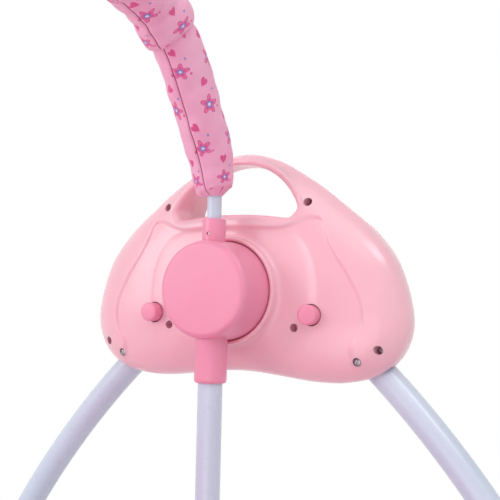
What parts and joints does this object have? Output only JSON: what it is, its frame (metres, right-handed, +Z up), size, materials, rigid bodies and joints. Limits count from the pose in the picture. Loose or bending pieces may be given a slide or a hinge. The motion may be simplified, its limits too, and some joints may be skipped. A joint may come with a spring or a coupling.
{
  "type": "electric baby swing",
  "caption": "Motor-driven baby swing: seat and padded arch hang on round hubs between two oval housings with carry handles, on folding curved tube legs.",
  "frame": {"origin": "on the floor, below the middle of the swing axis", "axes": "+Z up, X along the swing axis with +X toward the housing that holds the drive, -Y toward the front of the seat"},
  "size_m": [0.6796, 0.8112, 0.8325],
  "materials": {
    "pale_pink_shell": "gloss",
    "hub_pink": "satin",
    "tube_paint": "gloss",
    "pink_fabric": "matte",
    "strap_webbing": "matte",
    "steel": "brushed",
    "motor_steel": "satin",
    "nylon": "matte",
    "circuit_green": "matte",
    "speaker_black": "matte",
    "cell_grey": "satin",
    "foot_rubber": "matte"
  },
  "bodies": {
    "housings": {"right_inner_shell": "pale_pink_shell", "right_outer_shell": "pale_pink_shell", "right_bearing_bush": "nylon", "right_front_leg_pin": "steel", "right_front_shell_screw": "steel", "right_rear_leg_pin": "steel", "right_rear_shell_screw": "steel", "left_inner_shell": "pale_pink_shell", "left_outer_shell": "pale_pink_shell", "left_bearing_bush": "nylon", "left_front_leg_pin": "steel", "left_front_shell_screw": "steel", "left_rear_leg_pin": "steel", "left_rear_shell_screw": "steel", "battery_cell_1": "cell_grey", "battery_cell_2": "cell_grey", "battery_cell_3": "cell_grey", "battery_cell_4": "cell_grey", "control_board": "circuit_green", "speaker": "speaker_black", "drive_motor": "motor_steel"},
    "swing": {"right_hub_cup": "hub_pink", "right_swing_shaft": "steel", "right_arm_tube": "tube_paint", "right_arch_sleeve": "pink_fabric", "right_waist_strap": "strap_webbing", "left_hub_cup": "hub_pink", "left_swing_shaft": "steel", "left_arm_tube": "tube_paint", "left_arch_sleeve": "pink_fabric", "left_waist_strap": "strap_webbing", "arch_tube": "tube_paint", "top_arch_sleeve": "pink_fabric", "seat_frame": "tube_paint", "seat_cushion": "pink_fabric", "back_cushion": "pink_fabric", "crotch_strap": "strap_webbing", "harness_buckle": "hub_pink"},
    "right_front_lock": {"right_front_lock_button": "hub_pink"},
    "right_rear_lock": {"right_rear_lock_button": "hub_pink"},
    "left_front_lock": {"left_front_lock_button": "hub_pink"},
    "left_rear_lock": {"left_rear_lock_button": "hub_pink"},
    "speed_knob": {"speed_knob": "hub_pink"},
    "music_button": {"music_button": "hub_pink"},
    "battery_door": {"battery_door": "pale_pink_shell"},
    "motor_pinion": {"motor_pinion": "nylon"},
    "crank_wheel": {"crank_wheel": "nylon"},
    "drive_fork": {"drive_fork": "nylon"},
    "buckle_button": {"buckle_button": "nylon"},
    "front_legs": {"right_front_leg": "tube_paint", "right_front_foot": "foot_rubber", "left_front_leg": "tube_paint", "left_front_foot": "foot_rubber", "front_floor_bar": "tube_paint"},
    "rear_legs": {"right_rear_leg": "tube_paint", "right_rear_foot": "foot_rubber", "left_rear_leg": "tube_paint", "left_rear_foot": "foot_rubber", "rear_floor_bar": "tube_paint"}
  },
  "joints": [
    {"name": "seat_swing", "type": "hinge", "parent": "housings", "child": "swing", "pos_m": [0, 0, 0.57], "axis": [1, 0, 0], "range_deg": [-25, 25]},
    {"name": "front_leg_fold", "type": "hinge", "parent": "housings", "child": "front_legs", "pos_m": [0, -0.1212, 0.5109], "axis": [1, 0, 0], "range_deg": [0, 36]},
    {"name": "rear_leg_fold", "type": "hinge", "parent": "housings", "child": "rear_legs", "pos_m": [0, 0.1212, 0.5109], "axis": [-1, 0, 0], "range_deg": [0, 36]},
    {"name": "right_front_lock_press", "type": "slide", "parent": "housings", "child": "right_front_lock", "axis": [1, 0, 0], "range_m": [0, 0.006], "stiffness_N_per_m": 300},
    {"name": "right_rear_lock_press", "type": "slide", "parent": "housings", "child": "right_rear_lock", "axis": [1, 0, 0], "range_m": [0, 0.006], "stiffness_N_per_m": 300},
    {"name": "left_front_lock_press", "type": "slide", "parent": "housings", "child": "left_front_lock", "axis": [-1, 0, 0], "range_m": [0, 0.006], "stiffness_N_per_m": 300},
    {"name": "left_rear_lock_press", "type": "slide", "parent": "housings", "child": "left_rear_lock", "axis": [-1, 0, 0], "range_m": [0, 0.006], "stiffness_N_per_m": 300},
    {"name": "speed_knob_turn", "type": "hinge", "parent": "housings", "child": "speed_knob", "pos_m": [0.335, 0.008, 0.57], "axis": [1, 0, 0], "range_deg": [0, 270]},
    {"name": "music_button_press", "type": "slide", "parent": "housings", "child": "music_button", "axis": [-1, 0, 0], "range_m": [0, 0.0018], "stiffness_N_per_m": 300},
    {"name": "battery_door_lift", "type": "slide", "parent": "housings", "child": "battery_door", "axis": [1, 0, 0], "range_m": [0, 0.06]},
    {"name": "crank_wheel_spin", "type": "hinge", "parent": "housings", "child": "crank_wheel", "pos_m": [0.2935, 0, 0.53], "axis": [1, 0, 0], "continuous": true},
    {"name": "motor_pinion_spin", "type": "hinge", "parent": "housings", "child": "motor_pinion", "pos_m": [0.2935, 0.024, 0.53], "axis": [1, 0, 0], "continuous": true},
    {"name": "drive_fork_rock", "type": "hinge", "parent": "housings", "child": "drive_fork", "pos_m": [0.285, 0, 0.57], "axis": [1, 0, 0], "range_deg": [-8.5, 8.5]},
    {"name": "buckle_button_press", "type": "slide", "parent": "swing", "child": "buckle_button", "axis": [0, 0, -1], "range_m": [0, 0.0027], "stiffness_N_per_m": 300}
  ],
  "couplings": [
    {"joint": "motor_pinion_spin", "follows": "crank_wheel_spin", "ratio": -3}
  ]
}
